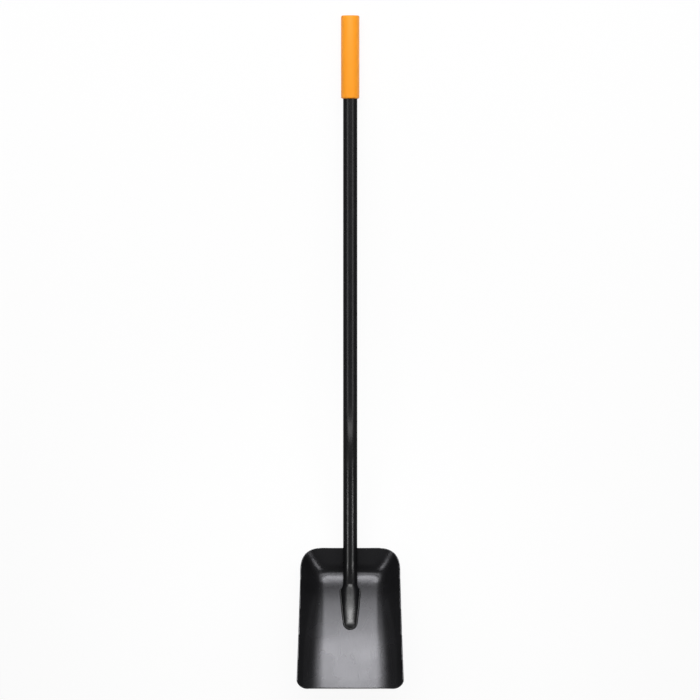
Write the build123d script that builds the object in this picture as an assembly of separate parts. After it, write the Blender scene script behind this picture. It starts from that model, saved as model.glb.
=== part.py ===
from build123d import *
import math
import os

# Square-mouth scoop shovel, in millimetres and degrees.
#
# Everything is built in the shaft's frame: the origin is the centre of the grip's closed end,
# +Y points along the upper shaft and out of that end, +Z points to the open side of the pan,
# and X is across. The finished pieces are then laid down as the tool rests on the ground.

# Grip sleeve
GRIP_LENGTH = 164.0
GRIP_RADIUS = 18.1
GRIP_END_WALL = 5.0
GRIP_EDGE_ROUND = 3.0
GRIP_FIT = 0.1  # radial clearance between the sleeve's bore and the tube

# Shaft tube
TUBE_OD = 28.0
TUBE_WALL = 1.3
UPPER_RUN = 752.0  # straight, from the tube's top to the upper bend
UPPER_BEND_RADIUS = 410.0
LEAN_BACK = 18.0  # the lower run leans back from the upper run by this angle
LOWER_RUN = 195.5  # straight, between the two bends
LOWER_BEND_RADIUS = 160.0
NOSE_RISE = 0.0  # angle of the tube's axis where its pressed nose begins

# Pressed nose, each section as its share of the nose's length, width and height
NOSE_LENGTH = 91.5
NOSE_SECTIONS = (
    (0.14, 37.0, 24.5),
    (0.35, 35.0, 19.5),
    (0.58, 30.0, 14.5),
    (0.78, 25.0, 10.0),
    (0.92, 17.0, 6.5),
    (0.985, 9.0, 4.5),
)

# Pan
SHEET = 1.6
LIFT = 25.0  # angle between the pan's floor and the upper shaft
FLOOR_LENGTH = 248.0  # from the mouth to the fold of the heel
FLOOR_WIDTH_HEEL = 116.0
FLOOR_WIDTH_MOUTH = 128.0
HEEL_HEIGHT = 42.0  # height of the rim over the floor at the heel
MOUTH_HEIGHT = 33.0  # and at the mouth
HEEL_LEAN = 33.9  # how far each wall leans out at its rim
SIDE_LEAN_AT_HEEL = 37.8
SIDE_LEAN_AT_MOUTH = 37.8
FOLD_RADIUS = 20.0  # inner radius between the floor and its walls
FLOOR_CORNER_RADIUS = 12.0
RIM_CORNER_RADIUS = 34.0
MOUTH_CORNER_RADIUS = 17.0
NOSE_TO_RIM = 58.9  # from the start of the nose back to the heel's rim, along the floor
OVERRUN = 18.0  # how far untrimmed walls run past the rim

# Fits and welds
SEAT_CLEARANCE = 0.3  # between the tube and the heel's rim
WELD_LEG = 2.2
HEEL_WELD_ARC = 80.0

TUBE_RADIUS = TUBE_OD / 2
BORE_RADIUS = TUBE_RADIUS - TUBE_WALL
TUBE_TOP = -GRIP_END_WALL
RIM_Y = FLOOR_LENGTH + HEEL_LEAN
NOSE_SETBACK = RIM_Y - NOSE_TO_RIM  # from the mouth to the start of the nose


def sin(angle):
    return math.sin(math.radians(angle))


def cos(angle):
    return math.cos(math.radians(angle))


def tan(angle):
    return math.tan(math.radians(angle))


# The shaft's route in the plane X = 0, each place as (Y, Z)
bend_start = (TUBE_TOP - UPPER_RUN, 0.0)
bend_end = (
    bend_start[0] - UPPER_BEND_RADIUS * sin(LEAN_BACK),
    UPPER_BEND_RADIUS * (cos(LEAN_BACK) - 1),
)
lower_end = (
    bend_end[0] - LOWER_RUN * cos(LEAN_BACK),
    bend_end[1] - LOWER_RUN * sin(LEAN_BACK),
)
nose_start = (
    lower_end[0] - LOWER_BEND_RADIUS * (sin(LEAN_BACK) + sin(NOSE_RISE)),
    lower_end[1] + LOWER_BEND_RADIUS * (cos(LEAN_BACK) - cos(NOSE_RISE)),
)

# The pan's frame has its origin in the middle of the mouth's edge on the floor's upper face,
# Y along the floor to the heel and Z square to the floor. It stands where the tube's end
# circle just touches the floor.
nose_height = TUBE_RADIUS * cos(LIFT - NOSE_RISE)
PAN_PLACE = Pos(
    0,
    nose_start[0] - NOSE_SETBACK * cos(LIFT) - nose_height * sin(LIFT),
    nose_start[1] + NOSE_SETBACK * sin(LIFT) - nose_height * cos(LIFT),
) * Rot(X=-LIFT)


# ---- Shaft tube ----


def rod_on_route(radius):
    """A round bar along the tube's centre line, from its top to the start of its nose."""
    upper = Line((TUBE_TOP, 0), bend_start)
    upper_bend = JernArc(bend_start, upper % 1, UPPER_BEND_RADIUS, LEAN_BACK)
    lower = Line(bend_end, lower_end)
    lower_bend = JernArc(lower_end, lower % 1, LOWER_BEND_RADIUS, -LEAN_BACK - NOSE_RISE)
    route = Plane.YZ * Curve([upper, upper_bend, lower, lower_bend])
    top = Plane(origin=(0, TUBE_TOP, 0), x_dir=(1, 0, 0), z_dir=(0, -1, 0))
    return sweep(top * Circle(radius), path=route)


def nose_rounds(inset):
    """The nose in full rounds, from the tube's end circle to its tip."""
    start = Plane(
        origin=(0, *nose_start), x_dir=(1, 0, 0), z_dir=(0, -cos(NOSE_RISE), sin(NOSE_RISE))
    )
    rounds = [start * Circle(TUBE_RADIUS - inset)]
    for share, width, height in NOSE_SECTIONS:
        if height > 3 * inset:
            centre = (0, NOSE_SETBACK - share * NOSE_LENGTH, 0)
            station = Plane(origin=centre, x_dir=(1, 0, 0), z_dir=(0, -1, 0))
            rounds.append(PAN_PLACE * (station * Ellipse(width / 2 - inset, height - inset)))
    return loft(rounds)


def nose(inset):
    """The nose as it is pressed, flat along the pan's floor."""
    under = Box(
        4 * FLOOR_LENGTH,
        4 * FLOOR_LENGTH,
        FLOOR_LENGTH,
        align=(Align.CENTER, Align.CENTER, Align.MAX),
    )
    return nose_rounds(inset) - PAN_PLACE * Pos(0, 0, inset) * under


def make_shaft_tube():
    outside = rod_on_route(TUBE_RADIUS) + nose(0)
    inside = rod_on_route(BORE_RADIUS) + nose(TUBE_WALL)
    return outside - inside


# ---- Pan ----


def pan_outline(height, grow):
    """The pan's plan at a height over its floor, past the mouth, with walls grown outwards."""
    share = height / HEEL_HEIGHT
    heel_y = FLOOR_LENGTH + share * HEEL_LEAN
    heel_x = FLOOR_WIDTH_HEEL / 2 + share * SIDE_LEAN_AT_HEEL
    mouth_x = FLOOR_WIDTH_MOUTH / 2 + height / MOUTH_HEIGHT * SIDE_LEAN_AT_MOUTH
    # a leaning wall is wider on the level than it is thick
    back_y = heel_y + grow * math.hypot(1, HEEL_LEAN / HEEL_HEIGHT)
    heel_x += grow * math.hypot(1, SIDE_LEAN_AT_HEEL / HEEL_HEIGHT)
    mouth_x += grow * math.hypot(1, SIDE_LEAN_AT_MOUTH / MOUTH_HEIGHT)
    flare = (mouth_x - heel_x) / FLOOR_LENGTH
    front_y = -2 * MOUTH_HEIGHT
    front_x = mouth_x - flare * front_y
    back_x = mouth_x - flare * back_y
    plan = make_face(
        Polyline(
            (-front_x, front_y), (front_x, front_y), (back_x, back_y), (-back_x, back_y), close=True
        )
    )
    corner_radius = FLOOR_CORNER_RADIUS + share * (RIM_CORNER_RADIUS - FLOOR_CORNER_RADIUS)
    heel_corners = plan.vertices().sort_by(Axis.Y)[-2:]
    return Pos(0, 0, height) * fillet(heel_corners, corner_radius + back_y - heel_y)


def pan_block(grow):
    """A block with the shape of the pan's inside, or of its outside when grown by the sheet."""
    block = loft([pan_outline(-grow, grow), pan_outline(HEEL_HEIGHT + OVERRUN, grow)], ruled=True)
    folds = block.faces().sort_by(Axis.Z)[0].edges().sort_by(Axis.Y)[1:]
    return fillet(folds, FOLD_RADIUS + grow)


def trim_block():
    """What lies behind the mouth's cut and under the rim, with rounded front corners."""
    front_y = -MOUTH_HEIGHT * tan(LIFT)
    back_y = RIM_Y + HEEL_HEIGHT
    slope = (HEEL_HEIGHT - MOUTH_HEIGHT) / (RIM_Y - front_y)
    below = -OVERRUN
    side_view = make_face(
        Polyline(
            (-below * tan(LIFT), below),
            (front_y, MOUTH_HEIGHT),
            (back_y, HEEL_HEIGHT + slope * HEEL_HEIGHT),
            (back_y, below),
            close=True,
        )
    )
    front_corner = side_view.vertices().sort_by(Axis.X)[0]
    side_view = fillet(front_corner, MOUTH_CORNER_RADIUS)
    return extrude(Plane.YZ * side_view, amount=2 * FLOOR_WIDTH_MOUTH, both=True)


def make_pan():
    sheet = PAN_PLACE * ((pan_block(SHEET) - pan_block(0)) & trim_block())
    upper_heel = Pos(0, RIM_Y - HEEL_LEAN / 2, 0) * Box(
        4 * TUBE_OD, HEEL_LEAN * 2, 4 * HEEL_HEIGHT, align=(Align.CENTER, Align.MIN, Align.CENTER)
    )
    seat = rod_on_route(TUBE_RADIUS + SEAT_CLEARANCE) & (PAN_PLACE * upper_heel)
    return sheet - seat


# ---- Welds ----


def foot_outline(grow, height):
    """The nose's foot on the pan's floor, grown by a margin and raised to a height."""
    side = [
        (width / 2 + grow, NOSE_SETBACK - share * NOSE_LENGTH) for share, width, _ in NOSE_SECTIONS
    ]
    tip = (0, NOSE_SETBACK - NOSE_LENGTH - grow)
    right = Spline([*side, tip], tangents=[(0, -1), (-1, 0)])
    left = mirror(right, Plane.YZ)
    return Pos(0, 0, height) * make_face([right, left, Line(right @ 0, left @ 0)])


def make_nose_weld():
    """A bead on the pan's floor, round the nose's foot."""
    bead = loft([foot_outline(WELD_LEG, 0), foot_outline(0, WELD_LEG)])
    return PAN_PLACE * bead - nose_rounds(0)


def make_heel_weld(pan):
    """A bead under the tube, where it crosses the heel's rim."""
    rim = (PAN_PLACE * Pos(0, RIM_Y, HEEL_HEIGHT)).position
    axis_z = bend_end[1] + (rim.Y - bend_end[0]) * tan(LEAN_BACK)
    along = (axis_z - rim.Z) * sin(LEAN_BACK)
    across = Plane(
        origin=(0, rim.Y - along * cos(LEAN_BACK), axis_z - along * sin(LEAN_BACK)),
        x_dir=(1, 0, 0),
        z_dir=(0, -cos(LEAN_BACK), -sin(LEAN_BACK)),
    )
    section = Plane.YZ * (Pos(-TUBE_RADIUS - SEAT_CLEARANCE, 0) * Circle(WELD_LEG))
    ring = Rot(Z=-HEEL_WELD_ARC / 2) * revolve(section, Axis.Z, HEEL_WELD_ARC)
    return across * ring - rod_on_route(TUBE_RADIUS) - pan


# ---- Grip ----


def make_grip_sleeve():
    sleeve = Cylinder(GRIP_RADIUS, GRIP_LENGTH)
    sleeve = fillet(sleeve.edges().filter_by(GeomType.CIRCLE), GRIP_EDGE_ROUND)
    bore = Cylinder(
        TUBE_RADIUS + GRIP_FIT, GRIP_LENGTH, align=(Align.CENTER, Align.CENTER, Align.MAX)
    )
    sleeve -= Pos(0, 0, GRIP_LENGTH / 2 - GRIP_END_WALL) * bore
    return Pos(0, -GRIP_LENGTH / 2, 0) * Rot(X=-90) * sleeve


# ---- Laid down on the ground, on the heel's fold and the end of the grip ----


def resting_turn():
    """The turn about X that brings the fold's and the grip's lowest points level."""
    heel_angle = math.degrees(math.atan2(HEEL_HEIGHT, HEEL_LEAN))
    fold_y = FLOOR_LENGTH - FOLD_RADIUS * tan(heel_angle / 2)
    fold = (PAN_PLACE * Pos(0, fold_y, FOLD_RADIUS)).position
    fold_radius = FOLD_RADIUS + SHEET
    edge_y = -GRIP_EDGE_ROUND
    edge_z = GRIP_EDGE_ROUND - GRIP_RADIUS
    apart_y = edge_y - fold.Y
    apart_z = edge_z - fold.Z
    apart = math.hypot(apart_y, apart_z)
    turn = math.asin((GRIP_EDGE_ROUND - fold_radius) / apart) - math.atan2(apart_z, apart_y)
    return math.degrees(turn)


pan = make_pan()
pieces = {
    "pan": pan,
    "shaft_tube": make_shaft_tube(),
    "grip_sleeve": make_grip_sleeve(),
    "nose_weld": make_nose_weld(),
    "heel_weld": make_heel_weld(pan),
}

turned = {name: Rot(X=resting_turn()) * piece for name, piece in pieces.items()}
box = Compound(list(turned.values())).bounding_box()
on_ground = Pos(0, -box.center().Y, -box.min.Z)

os.makedirs("parts", exist_ok=True)
for name, piece in turned.items():
    export_step(on_ground * piece, f"parts/{name}.step")
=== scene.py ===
import math

import bmesh
import bpy
from mathutils import Matrix, Vector, noise


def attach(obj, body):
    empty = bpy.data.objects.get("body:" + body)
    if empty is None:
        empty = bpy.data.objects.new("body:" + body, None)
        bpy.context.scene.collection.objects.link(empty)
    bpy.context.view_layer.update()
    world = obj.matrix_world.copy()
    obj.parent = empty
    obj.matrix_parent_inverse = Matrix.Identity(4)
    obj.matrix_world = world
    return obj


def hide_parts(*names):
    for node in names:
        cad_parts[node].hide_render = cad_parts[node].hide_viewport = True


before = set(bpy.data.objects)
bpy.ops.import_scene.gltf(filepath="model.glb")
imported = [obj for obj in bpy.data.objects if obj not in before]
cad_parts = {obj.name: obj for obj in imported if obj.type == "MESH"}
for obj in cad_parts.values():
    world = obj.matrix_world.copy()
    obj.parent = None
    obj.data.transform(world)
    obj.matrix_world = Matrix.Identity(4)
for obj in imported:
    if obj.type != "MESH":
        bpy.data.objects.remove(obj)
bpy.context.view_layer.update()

MM = 0.001


def rad(angle):
    return math.radians(angle)


# ---- Sizes in metres and radians, named as in the source of the solids ----
# Two differ from the solids: the nose is 7.5 mm longer, and the mouth's corners 4 mm tighter.

GRIP_LENGTH = 164 * MM
GRIP_RADIUS = 18.1 * MM
GRIP_EDGE_ROUND = 3 * MM
TUBE_TOP = -5 * MM
TUBE_RADIUS = 14 * MM
UPPER_RUN = 752 * MM
UPPER_BEND_RADIUS = 410 * MM
LEAN_BACK = rad(18)
LOWER_RUN = 195.5 * MM
LOWER_BEND_RADIUS = 160 * MM
NOSE_LENGTH = 99 * MM

SHEET = 1.6 * MM
LIFT = rad(25)
FLOOR_LENGTH = 248 * MM
FLOOR_HALF_HEEL = 58 * MM
FLOOR_HALF_MOUTH = 64 * MM
HEEL_HEIGHT = 42 * MM
MOUTH_HEIGHT = 33 * MM
HEEL_LEAN = 33.9 * MM
SIDE_LEAN = 37.8 * MM
MOUTH_CORNER_RADIUS = 13 * MM
RIM_Y = FLOOR_LENGTH + HEEL_LEAN
NOSE_IN_FROM_RIM = 58.9 * MM
NOSE_SETBACK = RIM_Y - NOSE_IN_FROM_RIM

# The shaft's frame: the grip's closed end is its origin, +Y runs out of that end along the
# upper shaft, and +Z points to the pan's open side. Here it lies down as the tool rests.
RESTING_TURN = rad(-4.7736)
GRIP_END = (0, 660.64 * MM, 17.84 * MM)
SHAFT_PLACE = Matrix.Translation(GRIP_END) @ Matrix.Rotation(RESTING_TURN, 4, "X")

# along the leaning lower run, and square to it on the pan's open side
down_run = Vector((0, -math.cos(LEAN_BACK), -math.sin(LEAN_BACK)))
off_run = Vector((0, -math.sin(LEAN_BACK), math.cos(LEAN_BACK)))

bend_start = Vector((0, TUBE_TOP - UPPER_RUN, 0))
bend_centre = bend_start + Vector((0, 0, -UPPER_BEND_RADIUS))
bend_end = bend_centre + UPPER_BEND_RADIUS * off_run
lower_end = bend_end + LOWER_RUN * down_run
lower_centre = lower_end + LOWER_BEND_RADIUS * off_run
nose_start = lower_centre + Vector((0, 0, -LOWER_BEND_RADIUS))

# the pan's frame: its floor's middle at the mouth is the origin, +Y runs back to the heel
nose_height = TUBE_RADIUS * math.cos(LIFT)
PAN_IN_SHAFT = Matrix.Translation((
    0,
    nose_start.y - NOSE_SETBACK * math.cos(LIFT) - nose_height * math.sin(LIFT),
    nose_start.z + NOSE_SETBACK * math.sin(LIFT) - nose_height * math.cos(LIFT),
)) @ Matrix.Rotation(-LIFT, 4, "X")
PAN_PLACE = SHAFT_PLACE @ PAN_IN_SHAFT


# ---- Finishes ----

COAT_IOR = 1.5
COAT_SPECULAR = 0.5
EDGE_FADE = (0.15, 0.28)  # how far a coat has turned away where its gloss starts and stops fading
EDGE_SPECULAR = 0.02
BLACK = (0.006, 0.006, 0.0065)
PAN_BLACK_LIGHT = (0.011, 0.011, 0.012)
DRAWING_MARK = (0.03, 0.03, 0.031)
PAN_TINT = (0.945, 0.94, 1, 1)
ORANGE = (0.93, 0.310, 0.007)
ORANGE_LIGHT = (0.97, 0.343, 0.011)
MOTTLE_SPAN = (0.3, 0.7)  # the middle of a noise's values, where most of the surface lies
PEEL_DEPTH = 0.06 * MM
WAVE_DEPTH = 1.0 * MM
SPARK_DEPTH = 0.08 * MM


class Finish:
    """A node material on a Principled shader, with short names for the nodes it is made of."""

    def __init__(self, name):
        self.material = bpy.data.materials.new(name)
        self.material.use_nodes = True
        self.nodes = self.material.node_tree.nodes
        self.links = self.material.node_tree.links
        self.shader = self.nodes["Principled BSDF"]
        self.place = self.nodes.new("ShaderNodeTexCoord").outputs["Object"]

    def set(self, **sockets):
        for socket, value in sockets.items():
            self.shader.inputs[socket.replace("_", " ")].default_value = value

    def stretched(self, scale):
        node = self.nodes.new("ShaderNodeMapping")
        node.inputs["Scale"].default_value = scale
        self.links.new(self.place, node.inputs["Vector"])
        return node.outputs["Vector"]

    def grain(self, scale, detail=2.0, rough=0.5, vector=None):
        node = self.nodes.new("ShaderNodeTexNoise")
        node.inputs["Scale"].default_value = scale
        node.inputs["Detail"].default_value = detail
        node.inputs["Roughness"].default_value = rough
        self.links.new(vector or self.place, node.inputs["Vector"])
        return node.outputs["Fac"]

    def ranged(self, value, low, high, to_low, to_high):
        node = self.nodes.new("ShaderNodeMapRange")
        for socket, number in (
            ("From Min", low), ("From Max", high), ("To Min", to_low), ("To Max", to_high)
        ):
            node.inputs[socket].default_value = number
        self.links.new(value, node.inputs["Value"])
        return node.outputs["Result"]

    def mixed(self, factor, first, second):
        node = self.nodes.new("ShaderNodeMix")
        node.data_type = "RGBA"
        self.links.new(factor, node.inputs["Factor"])
        for socket, colour in (("A", first), ("B", second)):
            if isinstance(colour, tuple):
                node.inputs[socket].default_value = (*colour, 1)
            else:
                self.links.new(colour, node.inputs[socket])
        return node.outputs["Result"]

    def maths(self, operation, first, second):
        node = self.nodes.new("ShaderNodeMath")
        node.operation = operation
        for socket, value in zip(node.inputs, (first, second)):
            if isinstance(value, (int, float)):
                socket.default_value = value
            else:
                self.links.new(value, socket)
        return node.outputs["Value"]

    def bumped(self, height, distance, strength=1.0, under=None):
        node = self.nodes.new("ShaderNodeBump")
        node.inputs["Distance"].default_value = distance
        node.inputs["Strength"].default_value = strength
        self.links.new(height, node.inputs["Height"])
        if under:
            self.links.new(under, node.inputs["Normal"])
        return node.outputs["Normal"]

    def edge_dulled(self):
        """Gloss that fades where the coat turns away, as a powder coat's does."""
        weight = self.nodes.new("ShaderNodeLayerWeight")
        weight.inputs["Blend"].default_value = 0.5
        away = weight.outputs["Facing"]
        dulled = self.ranged(away, *EDGE_FADE, COAT_SPECULAR, EDGE_SPECULAR)
        self.into("Specular IOR Level", dulled)

    def into(self, socket, value):
        self.links.new(value, self.shader.inputs[socket])


def black_coat(name, tone, gloss):
    """Satin black powder coat: a fine orange peel, and patches a little more or less matt."""
    coat = Finish(name)
    coat.set(IOR=COAT_IOR, Specular_IOR_Level=COAT_SPECULAR)
    coat.edge_dulled()
    mottle = coat.grain(35, detail=3)
    coat.into("Base Color", coat.mixed(mottle, tone, tuple(1.5 * c for c in tone)))
    coat.into("Roughness", coat.ranged(mottle, *MOTTLE_SPAN, gloss - 0.02, gloss + 0.03))
    coat.into("Normal", coat.bumped(coat.grain(900), PEEL_DEPTH, strength=0.5))
    return coat.material


def pan_coat():
    """The shaft's coat on pressed sheet: faint drawing marks run along a slightly duller floor."""
    coat = Finish("satin black pan paint")
    coat.set(IOR=COAT_IOR, Specular_IOR_Level=COAT_SPECULAR, Specular_Tint=PAN_TINT)
    coat.edge_dulled()
    mottle = coat.grain(22, detail=3)
    marks = coat.grain(1, detail=4, rough=0.6, vector=coat.stretched((520, 26, 26)))
    faint = coat.ranged(marks, 0.62, 0.8, 0.0, 0.2)
    black = coat.mixed(mottle, BLACK, PAN_BLACK_LIGHT)
    coat.into("Base Color", coat.mixed(faint, black, DRAWING_MARK))
    gloss = coat.ranged(mottle, *MOTTLE_SPAN, 0.24, 0.29)
    coat.into("Roughness", coat.maths("ADD", gloss, coat.maths("MULTIPLY", faint, 0.2)))
    waves = coat.bumped(coat.grain(17, detail=1), WAVE_DEPTH, strength=0.4)
    coat.into("Normal", coat.bumped(coat.grain(700), PEEL_DEPTH, strength=0.5, under=waves))
    return coat.material


def grip_plastic():
    """Moulded orange plastic with a fine spark-eroded grain."""
    plastic = Finish("satin orange plastic")
    plastic.set(IOR=1.48, Specular_IOR_Level=0.4)
    cloud = plastic.grain(30)
    plastic.into("Base Color", plastic.mixed(cloud, ORANGE, ORANGE_LIGHT))
    plastic.into("Roughness", plastic.ranged(cloud, *MOTTLE_SPAN, 0.42, 0.5))
    plastic.into("Normal", plastic.bumped(plastic.grain(1400), SPARK_DEPTH, strength=0.6))
    return plastic.material


shaft_paint = black_coat("satin black shaft paint", BLACK, 0.27)
weld_paint = black_coat("satin black over weld", BLACK, 0.34)
pan_paint = pan_coat()
orange = grip_plastic()


# ---- Mesh helpers ----

SEAM = 0.02 * MM  # points nearer than this are one point


def finished_piece(name, bm, place, material, slot, *nodes, sharp=40):
    """Closes the bmesh into an object in place of its CAD nodes."""
    bmesh.ops.transform(bm, matrix=place, verts=bm.verts)
    mesh = bpy.data.meshes.new(name)
    bm.to_mesh(mesh)
    bm.free()
    mesh.polygons.foreach_set("use_smooth", [True] * len(mesh.polygons))
    mesh.set_sharp_from_angle(angle=rad(sharp))
    mesh.materials.append(material)
    piece = bpy.data.objects.new(name, mesh)
    bpy.context.scene.collection.objects.link(piece)
    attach(piece, "root")
    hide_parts(*nodes)
    return piece


def bent_grid(bm, across, along, shape):
    """A grid of faces bent to shape(u, v), with u and v from 0 to 1."""
    grid = bmesh.ops.create_grid(bm, x_segments=across, y_segments=along, size=0.5)
    for vert in grid["verts"]:
        vert.co = shape(vert.co.x + 0.5, vert.co.y + 0.5)
    return grid["verts"]


def eased(t):
    """A smooth step from 0 to 1 as t goes from 0 to 1."""
    t = min(max(t, 0), 1)
    return t * t * (3 - 2 * t)


def soft_max(a, b, width):
    """The larger of two heights, rounded where they come within the width of each other."""
    return max(a, b) + width / 4 * max(0, 1 - abs(a - b) / width) ** 2


# ---- Pan ----

SIDE_FOLD = 21 * MM  # how far up its wall the side fold's rounding reaches
SIDE_FOLD_OUT = 8 * MM  # how far outside the floor's edge the wall's line starts
RIM_OUT = 2.2 * MM  # how far the rim flares past the solid pan's
# how steeply the middle line of the pan climbs, at distances from the mouth: a slight crown in
# the floor, the pocket at the heel, and the heel's wall
CLIMBS = (
    (-60, 0.045), (0, 0.045), (60, 0.035), (105, 0.005), (148, -0.035), (180, -0.07),
    (204, -0.115), (217, -0.135), (225, -0.1), (233, 0.0), (242, 0.11), (248, 0.32), (255, 0.95),
    (262, 1.3), (320, 1.4),
)
LOWEST = 233 * MM
POCKET_RISE = 0.5 * MM  # the pocket's bottom over the plane of the floor
CORNER_IN = 20 * MM  # how far in from the floor's sides the heel's corners start
CORNER_FROM = 227 * MM
CORNER_POWERS = (2.0, 3.2)  # at the floor and at the rim: 2 is round, and more is squarer
# the sheet before it is trimmed at the rim and the mouth
SHEET_WIDE = 232 * MM
SHEET_FROM = -36 * MM
SHEET_LONG = 336 * MM
SHEET_FACES = (140, 190)
MOUTH_CORNER_CUTS = 14
SLIVER = 0.5 * MM  # edges shorter than this are closed up along the trimmed rim


def climbed(y):
    """The height of the pan's middle line over the plane of its floor."""
    gained = POCKET_RISE
    for (near, first), (far, last) in zip(CLIMBS, CLIMBS[1:]):
        low, high = near * MM, far * MM
        for sign, end in ((1, y), (-1, LOWEST)):
            reach = min(max(end, low), high) - low
            gained += sign * reach * (first + (last - first) * reach / (high - low) / 2)
    return gained


def floor_half(y):
    """Half the floor's width."""
    return FLOOR_HALF_MOUTH + y / FLOOR_LENGTH * (FLOOR_HALF_HEEL - FLOOR_HALF_MOUTH)


def across_height(x, y):
    """The height of the floor and the side wall, without the heel."""
    rim_height = MOUTH_HEIGHT + y / FLOOR_LENGTH * (HEEL_HEIGHT - MOUTH_HEIGHT)
    floor = climbed(min(y, LOWEST))
    steep = (rim_height - floor) / (SIDE_LEAN + RIM_OUT - SIDE_FOLD_OUT)
    return soft_max(floor + (x - floor_half(y) - SIDE_FOLD_OUT) * steep, floor, SIDE_FOLD)


def pan_height(x, y):
    """The height of the pan's inner face over the plane of its floor."""
    x = abs(x)
    corner_x = floor_half(y) - CORNER_IN
    if y <= CORNER_FROM:
        return across_height(x, y)
    if x <= corner_x:
        return climbed(y)
    aside, back = x - corner_x, y - CORNER_FROM
    outward = min(math.hypot(aside, back) / (HEEL_LEAN + CORNER_IN), 1)
    power = CORNER_POWERS[0] + outward * (CORNER_POWERS[1] - CORNER_POWERS[0])
    reach = (aside**power + back**power) ** (1 / power)
    turned = eased(math.atan2(back, aside) / (math.pi / 2))
    side, heel = across_height(corner_x + reach, CORNER_FROM), climbed(CORNER_FROM + reach)
    return side + turned * (heel - side)


def pressed_sheet(u, v):
    x = (u - 0.5) * SHEET_WIDE
    y = SHEET_FROM + v * SHEET_LONG
    return Vector((x, y, pan_height(x, y)))


def trim(bm, point, normal):
    """Cuts away what lies past a plane."""
    everything = bm.verts[:] + bm.edges[:] + bm.faces[:]
    bmesh.ops.bisect_plane(
        bm, geom=everything, dist=1e-6, plane_co=point, plane_no=normal, clear_outer=True
    )


def make_pan():
    """The sheet, trimmed along its rim, round its mouth's corners and along its mouth."""
    bm = bmesh.new()
    bent_grid(bm, *SHEET_FACES, pressed_sheet)
    corner = Vector((0, -MOUTH_HEIGHT * math.tan(LIFT), MOUTH_HEIGHT))
    rim_slope = (HEEL_HEIGHT - MOUTH_HEIGHT) / (RIM_Y - corner.y)
    down_mouth = Vector((0, math.sin(LIFT), -math.cos(LIFT)))
    along_rim = Vector((0, 1, rim_slope)).normalized()
    half_angle = down_mouth.angle(along_rim) / 2
    round_centre = corner + (down_mouth + along_rim).normalized() * (
        MOUTH_CORNER_RADIUS / math.sin(half_angle)
    )
    mouth_normal = Vector((0, -math.cos(LIFT), -math.sin(LIFT)))
    for cut in range(MOUTH_CORNER_CUTS + 1):
        turned = -(math.pi - 2 * half_angle) * cut / MOUTH_CORNER_CUTS
        normal = Matrix.Rotation(turned, 3, "X") @ mouth_normal
        trim(bm, round_centre + MOUTH_CORNER_RADIUS * normal, normal)
    edge = {v for e in bm.edges if e.is_boundary for v in e.verts}
    near = list(edge | {o for v in edge for e in v.link_edges for o in e.verts})
    bmesh.ops.remove_doubles(bm, verts=near, dist=SLIVER)
    pan = finished_piece("pressed_pan", bm, PAN_PLACE, pan_paint, "pan_paint", "pan")
    sheet = pan.modifiers.new("sheet", "SOLIDIFY")
    sheet.thickness = SHEET
    sheet.offset = -1
    sheet.use_even_offset = True
    sheet.use_quality_normals = True
    return pan


# ---- Shaft, from the grip to the pressed nose on the pan ----

TUBE_SIDES = 64
# the nose's half width and height over the floor in millimetres, at shares of its length
NOSE_SHAPE = (
    (0.0, 14.0, 26.0),
    (0.14, 18.5, 20.3),
    (0.35, 17.5, 13.0),
    (0.60, 15.5, 7.3),
    (0.86, 12.5, 5.2),
)
NOSE_ROUND_FROM = 0.86  # the share of its length where its rounded tip starts
NOSE_TIP_FALL = 1.0  # how much lower the tip ends, in millimetres
NOSE_ROWS = 60
NOSE_ROWS_TO_TIP = 0.7  # the share of the rows that come before the tip
NOSE_WAIST = 0.15  # how much narrower the ridge is than the foot
NOSE_CROWN = 0.85  # the power of the cosine over its top: under 1 is fuller
NOSE_SUNK = 0.4 * MM
NOSE_BLEND = 0.15  # the share of its length in which the round tube becomes the pressed nose


def nose_section(share):
    """The nose's half width and height at a share of its length."""
    if share > NOSE_ROUND_FROM:
        q = (share - NOSE_ROUND_FROM) / (1 - NOSE_ROUND_FROM)
        end = math.sqrt(max(0, 1 - q * q))
        return NOSE_SHAPE[-1][1] * MM * end, (NOSE_SHAPE[-1][2] - NOSE_TIP_FALL * q) * MM * end
    knots = NOSE_SHAPE
    i = max(j for j in range(len(knots) - 1) if knots[j][0] <= share)
    before, after = knots[max(i - 1, 0)], knots[min(i + 2, len(knots) - 1)]
    a, b = knots[i], knots[i + 1]
    t = (share - a[0]) / (b[0] - a[0])
    sizes = []
    for k in (1, 2):
        in_slope = (b[k] - before[k]) / (b[0] - before[0]) * (b[0] - a[0])
        out_slope = (after[k] - a[k]) / (after[0] - a[0]) * (b[0] - a[0])
        sizes.append(MM * (
            (2 * t**3 - 3 * t**2 + 1) * a[k] + (t**3 - 2 * t**2 + t) * in_slope
            + (3 * t**2 - 2 * t**3) * b[k] + (t**3 - t**2) * out_slope
        ))
    return sizes


def nose_share(v):
    """Shares that crowd towards the rounded tip."""
    if v < NOSE_ROWS_TO_TIP:
        return v / NOSE_ROWS_TO_TIP * NOSE_ROUND_FROM
    into_tip = (v - NOSE_ROWS_TO_TIP) / (1 - NOSE_ROWS_TO_TIP)
    return NOSE_ROUND_FROM + (1 - NOSE_ROUND_FROM) * math.sin(into_tip * math.pi / 2)


SHAFT_TO_PAN = PAN_IN_SHAFT.inverted()


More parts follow.
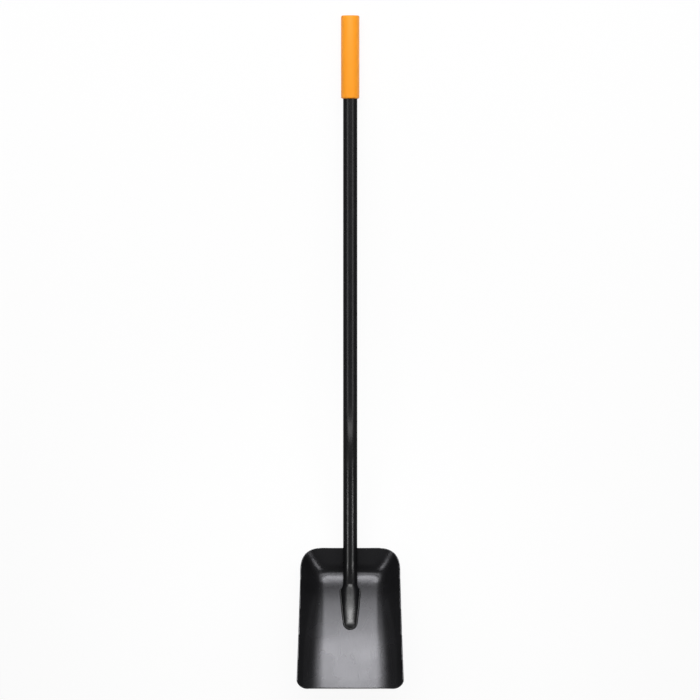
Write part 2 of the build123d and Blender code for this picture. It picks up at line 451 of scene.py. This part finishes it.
def nose_skin(u, v):
    """Round the nose with u and along it with v, in the pan's frame."""
    share = nose_share(v)
    angle = 2 * math.pi * (u - 0.5)
    half, height = nose_section(share)
    sine, cosine = math.sin(angle), math.cos(angle)
    y = NOSE_SETBACK - share * NOSE_LENGTH
    waist = 1 - NOSE_WAIST * max(cosine, 0)
    rise = height * cosine**NOSE_CROWN if cosine > 0 else -NOSE_SUNK * eased(-4 * cosine)
    pressed = Vector((half * sine * waist, y, climbed(y) + rise))
    along = Vector((0, -share * NOSE_LENGTH, 0))
    ring = nose_start + along + TUBE_RADIUS * Vector((sine, 0, cosine))
    return (SHAFT_TO_PAN @ ring).lerp(pressed, eased(share / NOSE_BLEND))


def make_shaft():
    """One tube, open at the grip and closed at the nose: its top ring pulled and bent along."""
    bm = bmesh.new()
    top = bmesh.ops.create_circle(bm, segments=TUBE_SIDES, radius=TUBE_RADIUS, cap_ends=False)
    quarter = Matrix.Rotation(math.pi / 2, 4, "X")
    bmesh.ops.transform(bm, matrix=quarter, verts=top["verts"])
    bmesh.ops.translate(bm, verts=top["verts"], vec=(0, TUBE_TOP, 0))
    ring = bm.edges[:]

    def pull(ring, vec, steps):
        for _ in range(steps):
            new = bmesh.ops.extrude_edge_only(bm, edges=ring)["geom"]
            bmesh.ops.translate(
                bm, verts=[g for g in new if isinstance(g, bmesh.types.BMVert)], vec=vec / steps
            )
            ring = [g for g in new if isinstance(g, bmesh.types.BMEdge)]
        return ring

    def bend(ring, centre, angle, steps):
        around = [v for e in ring for v in e.verts]
        last = bmesh.ops.spin(
            bm, geom=list(set(around)) + ring, cent=centre, axis=(1, 0, 0), angle=angle, steps=steps
        )["geom_last"]
        return [g for g in last if isinstance(g, bmesh.types.BMEdge)]

    ring = pull(ring, bend_start - Vector((0, TUBE_TOP, 0)), steps=12)
    ring = bend(ring, bend_centre, LEAN_BACK, steps=20)
    ring = pull(ring, lower_end - bend_end, steps=4)
    ring = bend(ring, lower_centre, -LEAN_BACK, steps=16)
    nose = bent_grid(bm, TUBE_SIDES, NOSE_ROWS, nose_skin)
    bmesh.ops.transform(bm, matrix=PAN_IN_SHAFT, verts=nose)
    bmesh.ops.remove_doubles(bm, verts=bm.verts, dist=SEAM)
    bmesh.ops.holes_fill(bm, edges=[e for e in bm.edges if e.is_boundary])
    bmesh.ops.recalc_face_normals(bm, faces=bm.faces)
    return finished_piece(
        "bent_shaft", bm, SHAFT_PLACE, shaft_paint, "shaft_paint", "shaft_tube", sharp=50
    )


# ---- Grip ----

GRIP_SIDES = 96
BORE_DRAWN = 8 * MM  # how far in the bore is drawn, over the tube
ON_RIM = 0.1 * MM


def make_grip():
    """A half profile, from the closed end to the bore, turned about the shaft."""
    bm = bmesh.new()
    profile = [
        (0, 0), (GRIP_RADIUS, 0), (GRIP_RADIUS, -GRIP_LENGTH), (TUBE_RADIUS, -GRIP_LENGTH),
        (TUBE_RADIUS, BORE_DRAWN - GRIP_LENGTH),
    ]
    verts = [bm.verts.new((x, y, 0)) for x, y in profile]
    edges = [bm.edges.new(pair) for pair in zip(verts, verts[1:])]
    bmesh.ops.spin(
        bm, geom=verts + edges, cent=(0, 0, 0), axis=(0, 1, 0), angle=2 * math.pi,
        steps=GRIP_SIDES, use_merge=True,
    )
    bmesh.ops.remove_doubles(bm, verts=bm.verts, dist=0.01 * MM)
    bmesh.ops.recalc_face_normals(bm, faces=bm.faces)
    rims = [
        e for e in bm.edges
        if all(abs(math.hypot(v.co.x, v.co.z) - GRIP_RADIUS) < ON_RIM for v in e.verts)
        and abs(e.verts[0].co.y - e.verts[1].co.y) < ON_RIM
    ]
    bmesh.ops.bevel(
        bm, geom=rims, offset=GRIP_EDGE_ROUND, offset_type="OFFSET", segments=7, profile=0.5,
        affect="EDGES", material=-1,
    )
    return finished_piece(
        "grip_cover", bm, SHAFT_PLACE, orange, "grip_plastic", "grip_sleeve", sharp=50
    )


# ---- Weld beads ----

BEAD_SIDES = 14
ROWS_PER_RIPPLE = 6
RIPPLE = 0.2  # as a share of the bead's radius, like the two below
RIPPLE_LEAST = 0.86
UNEVEN = 0.05
END_POWER = 40  # the higher, the blunter the bead's ends
STEP = 0.002  # either way along the bead, to find the way it runs
NOSE_BEAD_FROM = 0.1  # the share of the nose's length where its bead starts
HEEL_BEAD_SPAN = rad(80)  # how far round the tube the heel's bead reaches
HEEL_BEAD_OUT = 0.6 * MM


def bead(name, path, ripples, radius, node, place):
    """A rippled bead whose middle follows path(v), with v from 0 to 1."""
    bm = bmesh.new()

    def skin(u, v):
        middle = path(v)
        ahead = (path(min(v + STEP, 1)) - path(max(v - STEP, 0))).normalized()
        out = ahead.cross(Vector((0, 0, 1))).normalized()
        up = out.cross(ahead)
        ripple = RIPPLE * math.sin(math.pi * ((v * ripples) % 1))
        uneven = UNEVEN * noise.noise(Vector((40 * v, u, 3)))
        swell = radius * (RIPPLE_LEAST + ripple + uneven)
        taper = math.sqrt(max(0, 1 - (2 * v - 1) ** END_POWER))
        angle = 2 * math.pi * u
        return middle + swell * taper * (math.cos(angle) * out + math.sin(angle) * up)

    bent_grid(bm, BEAD_SIDES, ripples * ROWS_PER_RIPPLE, skin)
    bmesh.ops.remove_doubles(bm, verts=bm.verts, dist=SEAM)
    bmesh.ops.recalc_face_normals(bm, faces=bm.faces)
    return finished_piece(name, bm, place, weld_paint, "weld_paint", node, sharp=60)


def nose_foot(v):
    """Round the nose where it meets the floor, from one side by the tip to the other."""
    side = 1 if v < 0.5 else -1
    along = 1 - abs(2 * v - 1)
    share = NOSE_BEAD_FROM + (1 - NOSE_BEAD_FROM) * nose_share(along)
    half, _ = nose_section(share)
    y = NOSE_SETBACK - share * NOSE_LENGTH - 0.4 * MM * along
    return Vector((side * (half + 0.3 * MM), y, climbed(y) + 0.5 * MM))


def under_tube(v):
    """Under the tube, where it crosses the heel's rim."""
    angle = HEEL_BEAD_SPAN * (v - 0.5)
    rim = PAN_IN_SHAFT @ Vector((0, RIM_Y, HEEL_HEIGHT))
    axis_z = bend_end.z + (rim.y - bend_end.y) * math.tan(LEAN_BACK)
    along = (axis_z - rim.z) * math.sin(LEAN_BACK)
    middle = Vector((0, rim.y, axis_z)) + along * down_run
    reach = TUBE_RADIUS + HEEL_BEAD_OUT
    return middle + reach * (math.sin(angle) * Vector((1, 0, 0)) - math.cos(angle) * off_run)


make_pan()
make_shaft()
make_grip()
bead("nose_bead", nose_foot, 66, 1.9 * MM, node="nose_weld", place=PAN_PLACE)
bead("heel_bead", under_tube, 9, 2.1 * MM, node="heel_weld", place=SHAFT_PLACE)


# ---- Floor, world, lights and camera ----

RIGHT = Vector((1, 0, 0))
UP = (SHAFT_PLACE.to_3x3() @ Vector((0, 1, 0))).normalized()
FACING = (SHAFT_PLACE.to_3x3() @ Vector((0, 0, 1))).normalized()
FLOOR_SIZE = 300
FLOOR_TONE = (0.9, 0.9, 0.9, 1)
FLOOR_GLOW = 0.92  # the white share of the floor as the camera and reflections see it
ROOM_LIGHT = 0.08
BACKDROP_TOP = 0.04  # how steeply up the backdrop reaches
WHITE = (1, 1, 1, 1)


def make_floor():
    """A matt floor that shows the shadow, lifted towards white where it is seen or reflected."""
    bpy.ops.mesh.primitive_plane_add(size=FLOOR_SIZE, location=(0, 0, 0))
    floor = bpy.context.object
    floor.name = "studio_floor"
    material = bpy.data.materials.new("white studio floor")
    material.use_nodes = True
    nodes, links = material.node_tree.nodes, material.node_tree.links
    nodes.clear()
    path = nodes.new("ShaderNodeLightPath")
    matt = nodes.new("ShaderNodeBsdfDiffuse")
    matt.inputs["Color"].default_value = FLOOR_TONE
    white = nodes.new("ShaderNodeEmission")
    white.inputs["Strength"].default_value = 1.0
    seen = nodes.new("ShaderNodeMath")
    seen.operation = "MAXIMUM"
    links.new(path.outputs["Is Camera Ray"], seen.inputs[0])
    links.new(path.outputs["Is Glossy Ray"], seen.inputs[1])
    share = nodes.new("ShaderNodeMath")
    share.operation = "MULTIPLY"
    share.inputs[1].default_value = FLOOR_GLOW
    links.new(seen.outputs["Value"], share.inputs[0])
    mix = nodes.new("ShaderNodeMixShader")
    out = nodes.new("ShaderNodeOutputMaterial")
    links.new(share.outputs["Value"], mix.inputs["Fac"])
    links.new(matt.outputs["BSDF"], mix.inputs[1])
    links.new(white.outputs["Emission"], mix.inputs[2])
    links.new(mix.outputs["Shader"], out.inputs["Surface"])
    floor.data.materials.append(material)


def make_world():
    """A dim room. Its backdrop, near the horizon, is white to the camera and in reflections."""
    world = bpy.data.worlds.new("studio")
    bpy.context.scene.world = world
    world.use_nodes = True
    nodes, links = world.node_tree.nodes, world.node_tree.links
    nodes.clear()
    path = nodes.new("ShaderNodeLightPath")
    split = nodes.new("ShaderNodeSeparateXYZ")
    links.new(nodes.new("ShaderNodeTexCoord").outputs["Generated"], split.inputs["Vector"])

    def maths(operation, *values):
        node = nodes.new("ShaderNodeMath")
        node.operation = operation
        for socket, value in zip(node.inputs, values):
            if isinstance(value, float):
                socket.default_value = value
            else:
                links.new(value, socket)
        return node.outputs["Value"]

    low = maths("LESS_THAN", split.outputs["Z"], BACKDROP_TOP)
    mirrored = maths("MAXIMUM", path.outputs["Is Glossy Ray"], path.outputs["Is Transmission Ray"])
    white = maths("MAXIMUM", path.outputs["Is Camera Ray"], maths("MULTIPLY", mirrored, low))
    backdrop = nodes.new("ShaderNodeBackground")
    backdrop.inputs["Color"].default_value = WHITE
    backdrop.inputs["Strength"].default_value = 1.0
    room = nodes.new("ShaderNodeBackground")
    room.inputs["Color"].default_value = WHITE
    room.inputs["Strength"].default_value = ROOM_LIGHT
    mix = nodes.new("ShaderNodeMixShader")
    out = nodes.new("ShaderNodeOutputWorld")
    links.new(white, mix.inputs["Fac"])
    links.new(room.outputs["Background"], mix.inputs[1])
    links.new(backdrop.outputs["Background"], mix.inputs[2])
    links.new(mix.outputs["Shader"], out.inputs["Surface"])


def softbox(name, place, target, wide, tall, radiance):
    """An area light at a place, facing its target."""
    light = bpy.data.lights.new(name, "AREA")
    light.shape = "RECTANGLE"
    light.size, light.size_y = wide, tall
    light.energy = radiance * math.pi * wide * tall
    lamp = bpy.data.objects.new(name, light)
    bpy.context.scene.collection.objects.link(lamp)
    back = (place - target).normalized()
    across = UP.cross(back).normalized()
    turn = Matrix((across, back.cross(across), back)).transposed().to_4x4()
    lamp.matrix_world = Matrix.Translation(place) @ turn
    lamp.visible_camera = False


def over_shaft(s, height, x=0.0):
    """A place over the upper shaft, s below the grip's end and a height towards the camera."""
    return SHAFT_PLACE @ Vector((x, -s, height))


make_floor()
make_world()

# each lamp's name, place and target as over_shaft takes them, width, height and radiance
LAMPS = [
    ("pan_box", (-0.884, 2.158), (1.2, 0), 2.8, 0.32, 12.2),
    ("heel_box", (0.917, 0.35), (1.2, 0), 0.6, 0.1, 4.0),
    ("mouth_box", (3.8, 1.5), (1.2, 0), 2.8, 0.63, 0.3),
    ("grip_box", (-1.6, 2.4), (0.1, 0), 2.0, 1.6, 5.0),
]
for side in (-1, 1):
    LAMPS += [
        ("corner_box", (1.36, 0.34, side * 0.42), (1.089, 0.02, side * -0.073), 0.16, 0.16, 7.0),
        ("side_strip", (0.42, 0.75, side * 0.7), (0.42, 0), 0.32, 1.0, 1.6),
    ]
for name, place, target, *panel in LAMPS:
    softbox(name, over_shaft(*place), over_shaft(*target), *panel)

DISTANCE = 16.0
FRAME_WIDTH = 1.380
CAMERA_DOWN = 0.6594  # how far below the grip's end the camera looks
CAMERA_ASIDE = -0.4 * MM
SENSOR_WIDTH = 36  # in millimetres, as Blender counts it
camera_data = bpy.data.cameras.new("camera")
camera_data.type = "PERSP"
camera_data.sensor_width = SENSOR_WIDTH
camera_data.lens = SENSOR_WIDTH * DISTANCE / FRAME_WIDTH
camera_data.clip_start = 0.1
camera_data.clip_end = 200
camera = bpy.data.objects.new("camera", camera_data)
bpy.context.scene.collection.objects.link(camera)
look = Matrix((RIGHT, UP, FACING)).transposed().to_4x4()
camera_place = over_shaft(CAMERA_DOWN, DISTANCE, CAMERA_ASIDE)
camera.matrix_world = Matrix.Translation(camera_place) @ look
bpy.context.scene.camera = camera
bpy.context.scene.view_settings.view_transform = "Standard"

bpy.context.view_layer.update()
